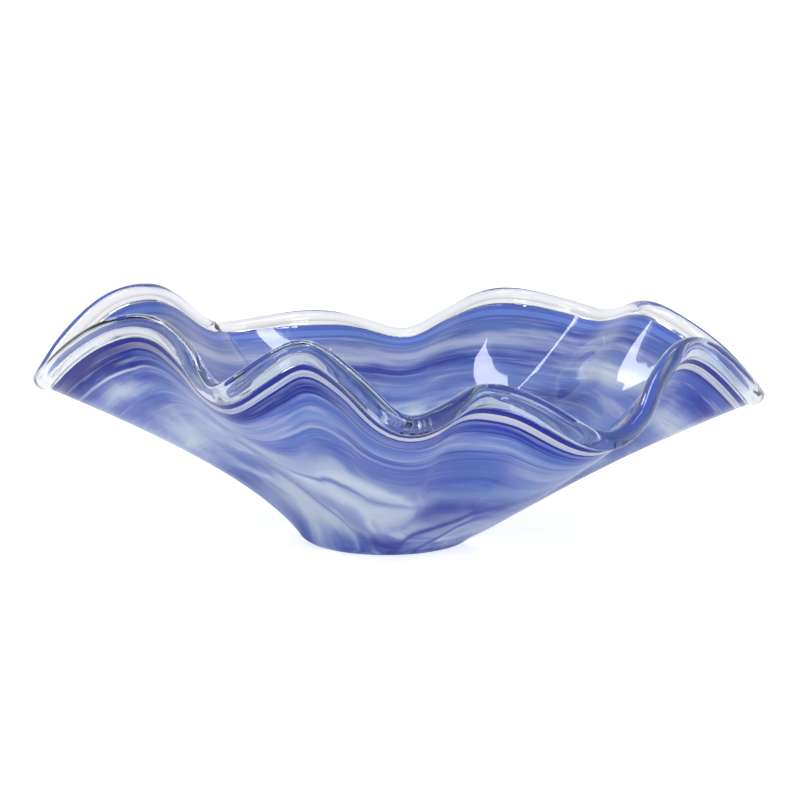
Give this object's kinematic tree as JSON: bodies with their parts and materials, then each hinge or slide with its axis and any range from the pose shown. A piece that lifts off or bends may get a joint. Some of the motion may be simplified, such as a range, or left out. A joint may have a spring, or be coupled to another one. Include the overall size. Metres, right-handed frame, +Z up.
{
  "type": "ruffled art glass bowl",
  "caption": "Wide ruffled art glass bowl with blue and white swirls, a clear lining, threads of cobalt and white, and a heavy clear lip.",
  "frame": {"origin": "centre of the flat ground face under the foot", "axes": "+Z up out of the foot; +X towards the longest lobe, along the bowl's greatest width; +Y towards the side with the lower, wider folds"},
  "size_m": [0.4307, 0.4132, 0.1462],
  "materials": {
    "swirl_glass": "glossy opal glass, blue and white swirls",
    "clear_glass": "clear, fire-polished",
    "cobalt_glass": "dark blue, glossy",
    "white_glass": "cream-white opal, glossy"
  },
  "bodies": {
    "root": {"ground_base": "swirl_glass", "swirl_wall": "swirl_glass", "clear_lining": "clear_glass", "fine_cobalt_thread": "cobalt_glass", "white_thread": "white_glass", "cobalt_thread": "cobalt_glass", "clear_lip": "clear_glass"}
  },
  "joints": []
}
